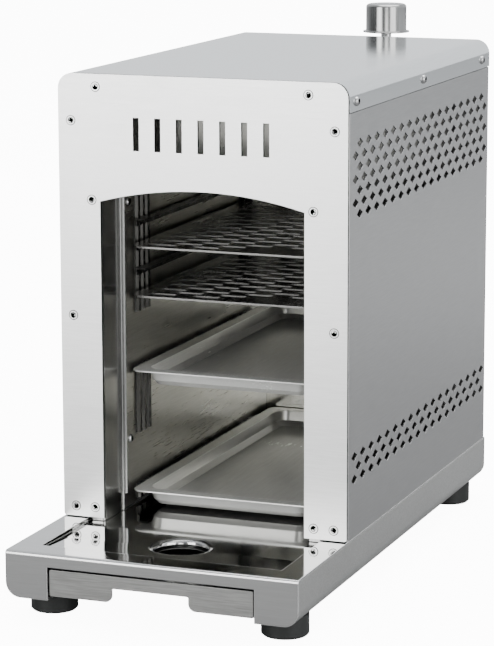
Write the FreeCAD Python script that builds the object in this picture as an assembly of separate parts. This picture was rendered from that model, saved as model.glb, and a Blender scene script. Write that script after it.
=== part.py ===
import FreeCAD, Part
import math
import os
from FreeCAD import Vector

# Infrared steak grill: a tall sheet-steel housing on a flat base with a drip drawer,
# two grates and two trays on rails, a ceramic burner in the roof and a gas knob behind.
# All lengths are in millimetres. While the solids are made, x runs across, y runs back
# from the face of the front plate and z runs up from the surface that the feet stand on.
# place_all moves them to the part's own frame: the middle of the footprint, on that surface.

# Overall sizes
WIDTH = 240.0
HOUSING_DEPTH = 380.0
HOUSING_HEIGHT = 357.0
BASE_HEIGHT = 37.0
BASE_REACH = 109.0
BASE_TAIL = 2.0
FOOT_HEIGHT = 17.0

# Sheets and clearances
PLATE = 2.5
SHEET = 1.5
PANEL = 1.2
FLAP = 1.0
BEND = 1.2
SEAM = 0.7
SLIDE_GAP = 0.3
FIT_GAP = 0.2
CORNER = 12.0
CUT_OVER = 5.0

# Feet
FOOT_RADIUS = 18.5
FOOT_BEVEL = 1.5
FOOT_INSET = 24.0
FOOT_FRONT_INSET = 37.0
FOOT_REAR_INSET = 31.0

# Raised screw heads on the sides of the cover
HEAD_RADIUS = 3.7
HEAD_HEIGHT = 2.2
HEAD_RISE = 7.5
HEAD_FRONT_INSET = 19.0
HEAD_REAR_INSET = 24.0
HEADS_IN_ROW = 3

# Drip floor in the top of the base
FLOOR_MARGIN = 21.0
FLOOR_FRONT_MARGIN = 22.0
FLOOR_REAR_MARGIN = 8.0
FLOOR_DEPTH = 1.8
VALLEY_SETBACK = 37.0
VALLEY_DROP = 1.2
DRAIN_SETBACK = 42.0
DRAIN_RADIUS = 21.0
DRAIN_ROLL = 4.0
DRAIN_COLLAR = 7.0

# Drip drawer and its rails
MOUTH_MARGIN = 35.2
MOUTH_DROP = 10.5
DRAWER_SETBACK = 1.5
DRAWER_SIDE_GAP = 1.3
DRAWER_TOP_GAP = 2.2
DRAWER_FOOT_GAP = 3.5
DRAWER_LENGTH = 180.0
DRAWER_WALL = 8.0
BOX_SETBACK = 1.5
NOTCH_HALF = 31.2
NOTCH_HEIGHT = 11.0
NOTCH_ROUND = 6.0
RAIL_SETBACK = 12.0
RAIL_LEDGE = 9.0
RAIL_FOOT = 6.0
RAIL_OVERRUN = 5.0
BASE_OPENING_EDGE = 1.8
BASE_OPENING_OVERRUN = 25.0

# Front plate
PLATE_LIFT = 0.8
PLATE_TOE = 2.0
SIDE_AIR = 34.0
OPENING_LIP = 1.0
OPENING_HEAD = 100.0
ARCH_RISE = 11.5
FRAME_INSET = 1.8
FRAME_LIP = 1.0
SLOT_COUNT = 7
SLOT_PITCH = 18.0
SLOT_WIDTH = 5.0
SLOT_LENGTH = 26.0
SLOT_DROP = 46.0
WINDOW_MARGIN = 5.0

# Side panels
PANEL_FLANGE = 14.0
PANEL_REAR_FLANGE = 16.0
COVER_FLANGE = 23.0
JOGGLE_HEIGHT = 11.0
JOGGLE_LAP = 0.2
DIAMOND_LENGTH = 14.6
DIAMOND_HEIGHT = 7.8
DIAMOND_PITCH = 20.5
DIAMOND_ROW = 9.1
DIAMOND_MARGIN = 5.0
UPPER_VENT_DROP = 48.0
UPPER_VENT_ROWS = 7
LOWER_VENT_RISE = 46.7
LOWER_VENT_ROWS = 3

# Cooking space
JAMB_DEPTH = 36.0
JAMB_RETURN = 4.0
JAMB_PANEL_GAP = 9.0
HEM_RAISE = 12.0
HEM_RADIUS = 1.4
LINER_DROP = 35.0
LINER_FLANGE = 10.0
REAR_AIR = 7.1

# Racks: posts with three pressed ribs, and rails with a turned-down lip
POST_FRONT_GAP = 28.0
POST_REAR_GAP = 38.5
POST_WIDTH = 29.0
POST_SHEET = 0.8
POST_FOOT_GAP = 1.0
RIB_COUNT = 3
RIB_DEPTH = 2.0
RIB_FOOT = 7.0
RIB_CREST = 3.5
UPPER_POST_BOTTOM = 157.0
UPPER_POST_TOP = 252.0
TRAY_POST_BOTTOM = 56.0
RAIL_WIDTH = 8.2
RAIL_LIP = 6.0
RAIL_FRONT_OVERHANG = 4.0
RAIL_REAR_OVERHANG = 8.0
LOWER_TRAY_LEVEL = 13.2
UPPER_TRAY_LEVEL = 112.7
LOWER_GRATE_LEVEL = 173.7
UPPER_GRATE_LEVEL = 213.7
SPARE_LEVEL_STEP = 20.0

# Shelves
SHELF_SIDE_GAP = 3.2
SHELF_FRONT_GAP = 2.5
SHELF_REAR_GAP = 2.5
GRATE = 1.5
GRATE_CORNER = 12.0
GRATE_SLOT = 22.0
GRATE_SLOT_WIDTH = 5.5
GRATE_SLOT_PITCH = 37.0
GRATE_ROW_PITCH = 11.0
GRATE_MARGIN = 10.0
PLAIN_PATCH_LEFT = 12.0
PLAIN_PATCH_RIGHT = 62.0
PLAIN_PATCH_DEPTH = 30.0
TRAY_SHEET = 1.0
TRAY_RIM = 8.5
TRAY_DEPTH = 12.5
TRAY_TAPER = 3.0
TRAY_CORNER = 14.0
TRAY_RIM_CORNER = 9.0
TRAY_FOLD = 4.0

# Burner
BURNER_SIDE_GAP = 2.0
BURNER_FRONT_GAP = 20.0
BURNER_REAR_GAP = 4.5
BURNER_DEPTH = 42.0
BURNER_RIM = 12.0
TILE_COUNT = 3
TILE_HEIGHT = 12.5
TILE_GAP = 2.0
TILE_END_GAP = 4.0
TILE_SEAT = 8.0
TILE_EDGE = 1.0
SHIELD_RISE = 16.0
SHIELD_REAR_INSET = 6.0
VENTURI_DROP = 13.0
VENTURI_RADIUS = 11.0
VENTURI_WALL = 1.5
VENTURI_REACH = 36.0
VENTURI_TAIL = 28.0
VENTURI_CUP_RADIUS = 15.0
VENTURI_CUP_LENGTH = 14.0
PROBE_INSET = 26.0
PROBE_DROP = 6.0
PROBE_RADIUS = 3.0
PROBE_REACH = 22.5
PROBE_TAIL = 5.0
PROBE_TIP_RADIUS = 0.9
PROBE_TIP_LENGTH = 14.0

# Rear panel and gas controls
REAR_INSET = 1.2
REAR_TOP_GAP = 4.0
REAR_SLOT_COUNT = 7
REAR_SLOT_PITCH = 22.0
REAR_SLOT_WIDTH = 6.0
REAR_SLOT_LENGTH = 40.0
REAR_SLOT_RISE = 70.0
KNOB_STAND = 75.0
KNOB_FLANGE_RADIUS = 21.2
KNOB_RADIUS = 18.5
KNOB_RISE = 10.2
KNOB_HEIGHT = 25.8
KNOB_FLANGE = 1.2
PUSH_TRAVEL = 3.0
BRACKET = 1.5
BRACKET_HALF = 32.0
BRACKET_DROP = 13.0
BRACKET_SIDE = 44.0
BRACKET_TAIL = 19.0
BRACKET_NOSE = 12.0
BRACKET_EAR = 14.0
VALVE_HALF = 13.0
VALVE_FRONT_REACH = 17.0
VALVE_REAR_REACH = 16.0
VALVE_HEIGHT = 39.0
VALVE_NECK = 5.5
VALVE_NECK_RADIUS = 11.0
BUSH_RADIUS = 7.0
BUSH_RISE = 5.4
BUSH_NUT_ACROSS = 19.0
BUSH_NUT_HEIGHT = 4.0
SLEEVE_RADIUS = 4.75
SLEEVE_GAP = 0.3
SLEEVE_LENGTH = 9.0
STEM_RADIUS = 3.0
STEM_GAP = 0.3
STEM_REACH = 26.0
STEM_GRIP = 14.0
JET_RADIUS = 5.0
JET_NUT_ACROSS = 14.0
JET_NUT_LENGTH = 6.0
JET_LENGTH = 18.0
NIPPLE_RADIUS = 4.5
NIPPLE_LENGTH = 30.0
NIPPLE_NUT_ACROSS = 15.0
NIPPLE_NUT_HEIGHT = 6.0
NIPPLE_BORE_RADIUS = 2.8

# Edges across, counted from the middle
HALF = WIDTH / 2
CAVITY_HALF = HALF - SIDE_AIR
OPENING_HALF = CAVITY_HALF - OPENING_LIP
JAMB_FLANGE = SIDE_AIR - PANEL_FLANGE - JAMB_PANEL_GAP
POST_INNER = CAVITY_HALF - POST_SHEET - RIB_DEPTH
RAIL_INNER = POST_INNER - RAIL_WIDTH
SHELF_HALF = POST_INNER - SHELF_SIDE_GAP
BURNER_HALF = CAVITY_HALF - BURNER_SIDE_GAP
PROBE_X = BURNER_HALF - PROBE_INSET
FLOOR_HALF = HALF - FLOOR_MARGIN
MOUTH_HALF = HALF - MOUTH_MARGIN
DRAWER_HALF = MOUTH_HALF - DRAWER_SIDE_GAP
BOX_HALF = DRAWER_HALF - BOX_SETBACK
BASE_OPENING_HALF = MOUTH_HALF - RAIL_LEDGE - BASE_OPENING_EDGE
FOOT_X = HALF - FOOT_INSET

# Places from front to rear, counted from the face of the front plate
BASE_END = HOUSING_DEPTH + BASE_TAIL
BACK_Y = HOUSING_DEPTH - PANEL - REAR_INSET
PANEL_FRONT_Y = PLATE + SHEET
FOOT_FRONT_Y = FOOT_FRONT_INSET - BASE_REACH
FOOT_REAR_Y = BASE_END - FOOT_REAR_INSET
FLOOR_FRONT_Y = FLOOR_FRONT_MARGIN - BASE_REACH
FLOOR_REAR_Y = HOUSING_DEPTH - FLOOR_REAR_MARGIN
VALLEY_Y = FLOOR_FRONT_Y + VALLEY_SETBACK
DRAIN_Y = FLOOR_FRONT_Y + DRAIN_SETBACK
DRAWER_FRONT_Y = DRAWER_SETBACK - BASE_REACH
JAMB_REAR_Y = PANEL_FRONT_Y + JAMB_DEPTH
LINER_REAR_Y = BACK_Y - REAR_AIR
POST_FRONT_Y = JAMB_REAR_Y + POST_FRONT_GAP
POST_REAR_Y = LINER_REAR_Y - POST_REAR_GAP - POST_WIDTH
RAIL_FRONT_Y = POST_FRONT_Y - RAIL_FRONT_OVERHANG
RAIL_REAR_Y = POST_REAR_Y + POST_WIDTH + RAIL_REAR_OVERHANG
SHELF_FRONT_Y = JAMB_REAR_Y + SHELF_FRONT_GAP
SHELF_REAR_Y = LINER_REAR_Y - SHELF_REAR_GAP
BURNER_FRONT_Y = JAMB_REAR_Y + BURNER_FRONT_GAP
BURNER_REAR_Y = LINER_REAR_Y - BURNER_REAR_GAP
VENTURI_FRONT_Y = BURNER_REAR_Y - VENTURI_REACH
VENTURI_REAR_Y = HOUSING_DEPTH + VENTURI_TAIL
PROBE_FRONT_Y = LINER_REAR_Y - PROBE_REACH
KNOB_Y = HOUSING_DEPTH + KNOB_STAND
BRACKET_REAR_Y = KNOB_Y + BRACKET_TAIL
VALVE_FRONT_Y = KNOB_Y - VALVE_FRONT_REACH
VALVE_REAR_Y = KNOB_Y + VALVE_REAR_REACH
PLATE_CENTRE_Y = (BASE_REACH - KNOB_Y - KNOB_FLANGE_RADIUS) / 2

# Heights above the surface
BASE_TOP = FOOT_HEIGHT + BASE_HEIGHT
TOP = BASE_TOP + HOUSING_HEIGHT
PLATE_BOTTOM = BASE_TOP + PLATE_LIFT
COVER_EDGE = TOP - COVER_FLANGE
COVER_SCREW_Z = COVER_EDGE + HEAD_RISE
MOUTH_TOP = BASE_TOP - MOUTH_DROP
DRAWER_TOP_Z = MOUTH_TOP - DRAWER_TOP_GAP
DRAWER_BOTTOM_Z = FOOT_HEIGHT + DRAWER_FOOT_GAP
BOX_TOP_Z = DRAWER_TOP_Z - FLAP
BOX_FLOOR_Z = BOX_TOP_Z - DRAWER_WALL
ARCH_SHOULDER = TOP - OPENING_HEAD
SLOT_Z = TOP - SLOT_DROP
LINER_TOP_Z = TOP - LINER_DROP
BURNER_BOTTOM_Z = LINER_TOP_Z - BURNER_DEPTH
VENTURI_Z = LINER_TOP_Z - VENTURI_DROP
PROBE_Z = BURNER_BOTTOM_Z - PROBE_DROP
BRACKET_TOP_Z = TOP - BRACKET_DROP
VALVE_TOP_Z = BRACKET_TOP_Z - BRACKET - VALVE_NECK
VALVE_BOTTOM_Z = VALVE_TOP_Z - VALVE_HEIGHT
BUSH_TOP_Z = BRACKET_TOP_Z + BUSH_RISE
KNOB_BOTTOM_Z = BRACKET_TOP_Z + KNOB_RISE
RAIL_LEVELS = (
    LOWER_TRAY_LEVEL,
    UPPER_TRAY_LEVEL,
    LOWER_GRATE_LEVEL,
    LOWER_GRATE_LEVEL + SPARE_LEVEL_STEP,
    UPPER_GRATE_LEVEL,
    UPPER_GRATE_LEVEL + SPARE_LEVEL_STEP,
)
POST_SPANS = (
    (POST_FOOT_GAP, LOWER_TRAY_LEVEL),
    (TRAY_POST_BOTTOM, UPPER_TRAY_LEVEL),
    (UPPER_POST_BOTTOM, UPPER_POST_TOP),
)

AXES = {
    "xy": (Vector(1, 0, 0), Vector(0, 1, 0), Vector(0, 0, 1)),
    "xz": (Vector(1, 0, 0), Vector(0, 0, 1), Vector(0, 1, 0)),
    "yz": (Vector(0, 1, 0), Vector(0, 0, 1), Vector(1, 0, 0)),
}
UP = Vector(0, 0, 1)
BACK = Vector(0, 1, 0)
SIDE = Vector(1, 0, 0)


def unit(vector):
    return vector / vector.Length


def box(x_range, y_range, z_range):
    corner = Vector(x_range[0], y_range[0], z_range[0])
    return Part.makeBox(
        x_range[1] - x_range[0],
        y_range[1] - y_range[0],
        z_range[1] - z_range[0],
        corner,
    )


def rod(radius, start, axis, length):
    return Part.makeCylinder(radius, length, start, axis)


def outline(plane, points, radii):
    """A closed wire through the points, each corner rounded by its radius."""
    across, along, _ = AXES[plane]
    corners = [across * u + along * v for u, v in points]
    count = len(corners)
    stops = []
    for index, corner in enumerate(corners):
        radius = radii[index]
        if radius <= 0:
            stops.append((corner, None, corner))
            continue
        back = unit(corners[index - 1] - corner)
        ahead = unit(corners[(index + 1) % count] - corner)
        half_angle = back.getAngle(ahead) / 2
        reach = radius / math.tan(half_angle)
        inward = unit(back + ahead)
        middle = corner + inward * (radius / math.sin(half_angle) - radius)
        stops.append((corner + back * reach, middle, corner + ahead * reach))
    edges = []
    for index, (start, middle, end) in enumerate(stops):
        if middle is not None:
            edges.append(Part.Arc(start, middle, end).toShape())
        following = stops[(index + 1) % count][0]
        if (following - end).Length > 1e-6:
            edges.append(Part.LineSegment(end, following).toShape())
    return Part.Wire(edges)


def prism(plane, points, radii, start, end):
    """The outline, pushed from start to end at right angles to its plane."""
    if not isinstance(radii, (list, tuple)):
        radii = [radii] * len(points)
    normal = AXES[plane][2]
    face = Part.Face(outline(plane, points, radii))
    face.translate(normal * start)
    return face.extrude(normal * (end - start))


def rectangle(u_range, v_range):
    return [
        (u_range[0], v_range[0]),
        (u_range[1], v_range[0]),
        (u_range[1], v_range[1]),
        (u_range[0], v_range[1]),
    ]


def folded(plane, path, thickness, bend, start, end):
    """A folded sheet. The path is its right-hand face, and bend the inside radius."""
    points = [Vector(u, v, 0) for u, v in path]
    normals = []
    for here, there in zip(points, points[1:]):
        step = unit(there - here)
        normals.append(Vector(-step.y, step.x, 0))
    other = []
    right_radii = []
    left_radii = []
    for index, point in enumerate(points):
        if index == 0 or index == len(points) - 1:
            normal = normals[min(index, len(normals) - 1)]
            other.append(point + normal * thickness)
            right_radii.append(0)
            left_radii.append(0)
            continue
        before = normals[index - 1]
        after = normals[index]
        other.append(point + (before + after) * (thickness / (1 + before.dot(after))))
        turns_left = before.cross(after).z > 0
        outer = bend + thickness if bend > 0 else 0
        right_radii.append(outer if turns_left else bend)
        left_radii.append(bend if turns_left else outer)
    loop = points + other[::-1]
    radii = right_radii + left_radii[::-1]
    return prism(plane, [(p.x, p.y) for p in loop], radii, start, end)


def turned(profile, axis_point, axis, arcs=()):
    """A solid of revolution. The profile holds (radius, height) along the axis;
    arcs names the profile points that are the middle of an arc."""
    across = SIDE if abs(axis.dot(SIDE)) < 0.5 else UP
    points = [axis_point + across * r + axis * h for r, h in profile]
    edges = []
    index = 0
    count = len(points)
    while index < count:
        if (index + 1) in arcs:
            end = points[(index + 2) % count]
            edges.append(Part.Arc(points[index], points[index + 1], end).toShape())
            index += 2
            continue
        end = points[(index + 1) % count]
        edges.append(Part.LineSegment(points[index], end).toShape())
        index += 1
    face = Part.Face(Part.Wire(edges))
    return face.revolve(axis_point, axis, 360)


def hexagon(across_flats, start, axis, length):
    """A hexagonal prism along the axis."""
    radius = across_flats / math.sqrt(3)
    first = SIDE if abs(axis.dot(SIDE)) < 0.5 else UP
    second = axis.cross(first)
    corners = []
    for index in range(6):
        angle = math.radians(60 * index + 30)
        corners.append(start + first * (radius * math.cos(angle)) + second * (radius * math.sin(angle)))
    corners.append(corners[0])
    return Part.Face(Part.makePolygon(corners)).extrude(axis * length)


def fuse(shapes):
    whole = shapes[0]
    for shape in shapes[1:]:
        whole = whole.fuse(shape)
    return whole.removeSplitter()


def cut(shape, tools):
    if not tools:
        return shape
    return shape.cut(Part.makeCompound(tools))


def mirrored(shape):
    return shape.mirror(Vector(0, 0, 0), SIDE)


def both_sides(shape):
    return [shape, mirrored(shape)]


def floor_height(y):
    """Height of the drip floor's upper face, which dips to the valley before the drain."""
    top = BASE_TOP - FLOOR_DEPTH
    if y < VALLEY_Y:
        share = (y - FLOOR_FRONT_Y) / (VALLEY_Y - FLOOR_FRONT_Y)
    else:
        share = (FLOOR_REAR_Y - y) / (FLOOR_REAR_Y - VALLEY_Y)
    return top - VALLEY_DROP * share


# Base

def make_feet():
    """Four rubber feet: round pucks with a bevelled lower edge."""
    profile = [
        (0, 0),
        (FOOT_RADIUS - FOOT_BEVEL, 0),
        (FOOT_RADIUS, FOOT_BEVEL),
        (FOOT_RADIUS, FOOT_HEIGHT),
        (0, FOOT_HEIGHT),
    ]
    return Part.makeCompound([
        turned(profile, Vector(x, y, 0), UP)
        for x in (-FOOT_X, FOOT_X)
        for y in (FOOT_FRONT_Y, FOOT_REAR_Y)
    ])


def make_base_shell():
    """Sides and floor of the base in one fold, open under the drawer."""
    top = BASE_TOP - SHEET
    path = [(-HALF, top), (-HALF, FOOT_HEIGHT), (HALF, FOOT_HEIGHT), (HALF, top)]
    front = -BASE_REACH + SHEET
    shell = folded("xz", path, SHEET, CORNER - SHEET, front, BASE_END - SHEET)
    opening = box(
        (-BASE_OPENING_HALF, BASE_OPENING_HALF),
        (front - CUT_OVER, DRAWER_FRONT_Y + DRAWER_LENGTH + BASE_OPENING_OVERRUN),
        (FOOT_HEIGHT - CUT_OVER, FOOT_HEIGHT + CUT_OVER),
    )
    mouth = box(
        (-MOUTH_HALF, MOUTH_HALF),
        (front - CUT_OVER, DRAWER_FRONT_Y + RAIL_SETBACK),
        (FOOT_HEIGHT - CUT_OVER, FOOT_HEIGHT + CUT_OVER),
    )
    reliefs = [
        box((-HALF - CUT_OVER, HALF + CUT_OVER), y_range, (top - BEND, top + CUT_OVER))
        for y_range in (
            (front - CUT_OVER, front + BEND),
            (BASE_END - SHEET - BEND, BASE_END + CUT_OVER),
        )
    ]
    return cut(shell, [opening, mouth] + reliefs)


def make_drain(low):
    """The drain's rolled rim as a cutter, from the drip floor down through its collar."""
    centre_radius = DRAIN_RADIUS + DRAIN_ROLL
    lean = math.radians(45)
    profile = [
        (0, low - DRAIN_COLLAR - CUT_OVER),
        (DRAIN_RADIUS, low - DRAIN_COLLAR - CUT_OVER),
        (DRAIN_RADIUS, low - DRAIN_ROLL),
        (centre_radius - DRAIN_ROLL * math.cos(lean), low - DRAIN_ROLL * (1 - math.sin(lean))),
        (centre_radius, low),
        (centre_radius, BASE_TOP + CUT_OVER),
        (0, BASE_TOP + CUT_OVER),
    ]
    return turned(profile, Vector(0, DRAIN_Y, 0), UP, arcs=(3,))


def make_base_top():
    """Top sheet with its front and rear folds, the sunk drip floor and the rolled drain."""
    bottom = FOOT_HEIGHT
    path = [
        (BASE_END, bottom),
        (BASE_END, BASE_TOP),
        (-BASE_REACH, BASE_TOP),
        (-BASE_REACH, bottom),
    ]
    sheet = folded("yz", path, SHEET, BEND, -HALF, HALF)
    blank = prism(
        "xz",
        rectangle((-HALF, HALF), (bottom, BASE_TOP + CUT_OVER)),
        [CORNER, CORNER, 0, 0],
        -BASE_REACH - CUT_OVER,
        BASE_END + CUT_OVER,
    )
    sheet = sheet.common(blank)
    floor_line = [
        (FLOOR_FRONT_Y, floor_height(FLOOR_FRONT_Y)),
        (VALLEY_Y, floor_height(VALLEY_Y)),
        (FLOOR_REAR_Y, floor_height(FLOOR_REAR_Y)),
    ]
    hollow_points = [(FLOOR_FRONT_Y, BASE_TOP + CUT_OVER)] + floor_line
    hollow_points.append((FLOOR_REAR_Y, BASE_TOP + CUT_OVER))
    hollow = prism("yz", hollow_points, 0, -FLOOR_HALF, FLOOR_HALF)
    under = [(y, z - SHEET) for y, z in floor_line]
    under[0] = (FLOOR_FRONT_Y - SHEET, under[0][1])
    under[-1] = (FLOOR_REAR_Y + SHEET, under[-1][1])
    pan_points = [(FLOOR_FRONT_Y - SHEET, BASE_TOP)] + under
    pan_points.append((FLOOR_REAR_Y + SHEET, BASE_TOP))
    pan = prism("yz", pan_points, 0, -FLOOR_HALF - SHEET, FLOOR_HALF + SHEET)
    low = floor_height(VALLEY_Y)
    collar_start = Vector(0, DRAIN_Y, low - DRAIN_COLLAR)
    collar = rod(DRAIN_RADIUS + DRAIN_ROLL, collar_start, UP, DRAIN_COLLAR - SHEET)
    drawer_mouth = box(
        (-MOUTH_HALF, MOUTH_HALF),
        (-BASE_REACH - CUT_OVER, -BASE_REACH + CUT_OVER),
        (bottom - CUT_OVER, MOUTH_TOP),
    )
    whole = fuse([sheet.fuse(pan).cut(hollow), collar])
    return cut(whole, [make_drain(low), drawer_mouth])


def make_drawer_rails():
    """A folded rail each side: a foot on the base, a wall beside the box, a ledge under it."""
    wall_x = MOUTH_HALF
    foot_z = FOOT_HEIGHT + SHEET
    ledge_z = BOX_FLOOR_Z - SLIDE_GAP - PANEL
    path = [(wall_x + RAIL_FOOT, foot_z), (wall_x, foot_z), (wall_x, ledge_z), (wall_x - RAIL_LEDGE, ledge_z)]
    front = DRAWER_FRONT_Y + RAIL_SETBACK
    rear = DRAWER_FRONT_Y + DRAWER_LENGTH + RAIL_OVERRUN
    rail = folded("xz", path[::-1], PANEL, BEND, front, rear)
    return Part.makeCompound(both_sides(rail))


def make_drip_drawer():
    """A shallow folded box behind a deeper front with a finger notch in its lower edge."""
    notch_top = DRAWER_BOTTOM_Z + NOTCH_HEIGHT
    front_points = [
        (-DRAWER_HALF, DRAWER_BOTTOM_Z),
        (-NOTCH_HALF, DRAWER_BOTTOM_Z),
        (-NOTCH_HALF, notch_top),
        (NOTCH_HALF, notch_top),
        (NOTCH_HALF, DRAWER_BOTTOM_Z),
        (DRAWER_HALF, DRAWER_BOTTOM_Z),
        (DRAWER_HALF, DRAWER_TOP_Z),
        (-DRAWER_HALF, DRAWER_TOP_Z),
    ]
    front_radii = [FLAP, NOTCH_ROUND, FLAP, FLAP, NOTCH_ROUND, FLAP, FLAP, FLAP]
    front_y = DRAWER_FRONT_Y
    front = prism("xz", front_points, front_radii, front_y, front_y + PANEL)
    path = [(-BOX_HALF, BOX_TOP_Z), (-BOX_HALF, BOX_FLOOR_Z), (BOX_HALF, BOX_FLOOR_Z), (BOX_HALF, BOX_TOP_Z)]
    rear_y = front_y + DRAWER_LENGTH
    tray = folded("xz", path, FLAP, BEND, front_y + PANEL, rear_y)
    rear_wall = prism(
        "xz",
        rectangle((-BOX_HALF, BOX_HALF), (BOX_FLOOR_Z, BOX_TOP_Z)),
        [BEND + FLAP, BEND + FLAP, 0, 0],
        rear_y - FLAP,
        rear_y,
    )
    return fuse([tray, front, rear_wall])


# Housing

def arch(margin, start, end):
    """The cooking opening with its curved head, widened by a margin and open below."""
    half = OPENING_HALF + margin
    shoulder = ARCH_SHOULDER + margin
    crown = shoulder + ARCH_RISE
    low = FOOT_HEIGHT
    corners = [
        Vector(half, start, shoulder),
        Vector(half, start, low),
        Vector(-half, start, low),
        Vector(-half, start, shoulder),
    ]
    edges = [Part.LineSegment(a, b).toShape() for a, b in zip(corners, corners[1:])]
    edges.append(Part.Arc(corners[3], Vector(0, start, crown), corners[0]).toShape())
    return Part.Face(Part.Wire(edges)).extrude(BACK * (end - start))


def make_front_plate():
    """The face plate: arched opening and a plain row of vent slots."""
    plate = prism(
        "xz",
        rectangle((-HALF, HALF), (PLATE_BOTTOM, TOP)),
        [PLATE_TOE, PLATE_TOE, CORNER, CORNER],
        0,
        PLATE,
    )
    slots = []
    half_width = SLOT_WIDTH / 2
    for index in range(SLOT_COUNT):
        x = (index - (SLOT_COUNT - 1) / 2) * SLOT_PITCH
        slots.append(box(
            (x - half_width, x + half_width),
            (-CUT_OVER, PLATE + CUT_OVER),
            (SLOT_Z - SLOT_LENGTH / 2, SLOT_Z + SLOT_LENGTH / 2),
        ))
    return cut(plate, [arch(0, -CUT_OVER, PLATE + CUT_OVER)] + slots)


def make_front_frame():
    """The flat frame behind the plate, which ties plate, jambs and side panels together."""
    half = HALF - FRAME_INSET
    frame = prism(
        "xz",
        rectangle((-half, half), (PLATE_BOTTOM, TOP - FRAME_INSET)),
        [0, 0, CORNER - FRAME_INSET, CORNER - FRAME_INSET],
        PLATE,
        PANEL_FRONT_Y,
    )
    window = box(
        (-OPENING_HALF, OPENING_HALF),
        (0, PANEL_FRONT_Y + CUT_OVER),
        (SLOT_Z - SLOT_LENGTH / 2 - WINDOW_MARGIN, SLOT_Z + SLOT_LENGTH / 2 + WINDOW_MARGIN),
    )
    return cut(frame, [arch(FRAME_LIP, 0, PANEL_FRONT_Y + CUT_OVER), window])


def make_top_cover():
    """The roof: one sheet folded down over both sides."""
    path = [(HALF, COVER_EDGE), (HALF, TOP), (-HALF, TOP), (-HALF, COVER_EDGE)]
    return folded("xz", path, SHEET, CORNER - SHEET, PLATE + SEAM, HOUSING_DEPTH)


def make_cover_screws():
    """Raised heads on both sides of the cover."""
    first = HEAD_FRONT_INSET
    last = HOUSING_DEPTH - HEAD_REAR_INSET
    heads = []
    for index in range(HEADS_IN_ROW):
        y = first + (last - first) * index / (HEADS_IN_ROW - 1)
        heads.append(rod(HEAD_RADIUS, Vector(HALF, y, COVER_SCREW_Z), SIDE, HEAD_HEIGHT))
    return Part.makeCompound(heads + [mirrored(head) for head in heads])


def diamond(y, z):
    """One vent: a diamond prism that passes through a side panel."""
    half_length = DIAMOND_LENGTH / 2
    half_height = DIAMOND_HEIGHT / 2
    points = [(y - half_length, z), (y, z - half_height), (y + half_length, z), (y, z + half_height)]
    return prism("yz", points, 0, HALF - CUT_OVER, HALF + CUT_OVER)


def vent_field(top, rows, long_first):
    """Rows of diamonds, each row shifted by half a pitch against the last."""
    room = HOUSING_DEPTH - PANEL_FRONT_Y - 2 * DIAMOND_MARGIN - DIAMOND_LENGTH
    most = int(room / DIAMOND_PITCH) + 1
    middle = (PANEL_FRONT_Y + HOUSING_DEPTH) / 2
    vents = []
    for row in range(rows):
        is_long = (row % 2 == 0) == long_first
        count = most if is_long else most - 1
        for index in range(count):
            y = middle + (index - (count - 1) / 2) * DIAMOND_PITCH
            vents.append(diamond(y, top - row * DIAMOND_ROW))
    return vents


def make_right_panel():
    """A side panel: folded front and rear edges, a stepped top edge and two vent fields."""
    path = [
        (HALF - PANEL_FLANGE, PANEL_FRONT_Y),
        (HALF, PANEL_FRONT_Y),
        (HALF, HOUSING_DEPTH),
        (HALF - PANEL_REAR_FLANGE, HOUSING_DEPTH),
    ]
    wall_top = COVER_EDGE - SEAM
    wall = folded("xy", path, PANEL, BEND, BASE_TOP, wall_top)
    step = HALF - SHEET
    step_path = [
        (HALF, wall_top - PANEL - JOGGLE_LAP),
        (HALF, wall_top),
        (step, wall_top),
        (step, wall_top + JOGGLE_HEIGHT),
    ]
    step_front = PANEL_FRONT_Y + PANEL + BEND
    step_rear = HOUSING_DEPTH - PANEL - BEND
    joggle = folded("xz", step_path, PANEL, 0, step_front, step_rear)
    panel = fuse([wall, joggle])
    lower_top = BASE_TOP + LOWER_VENT_RISE + (LOWER_VENT_ROWS - 1) * DIAMOND_ROW
    vents = vent_field(TOP - UPPER_VENT_DROP, UPPER_VENT_ROWS, False)
    vents += vent_field(lower_top, LOWER_VENT_ROWS, True)
    return cut(panel, vents)


def make_rear_panel():
    """The back sheet inside the side flanges, with air slots and holes for the gas fittings."""
    half = HALF - PANEL - BEND
    sheet = prism(
        "xz",
        rectangle((-half, half), (BASE_TOP, TOP - SHEET - REAR_TOP_GAP)),
        [0, 0, CORNER, CORNER],
        BACK_Y,
        BACK_Y + REAR_INSET,
    )
    half_width = REAR_SLOT_WIDTH / 2
    low = BASE_TOP + REAR_SLOT_RISE
    slots = []
    for index in range(REAR_SLOT_COUNT):
        x = (index - (REAR_SLOT_COUNT - 1) / 2) * REAR_SLOT_PITCH
        slots.append(box(
            (x - half_width, x + half_width),
            (BACK_Y - CUT_OVER, BACK_Y + CUT_OVER),
            (low, low + REAR_SLOT_LENGTH),
        ))
    return cut(sheet, slots + venturi_hole() + probe_holes())


# Cooking space

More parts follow.
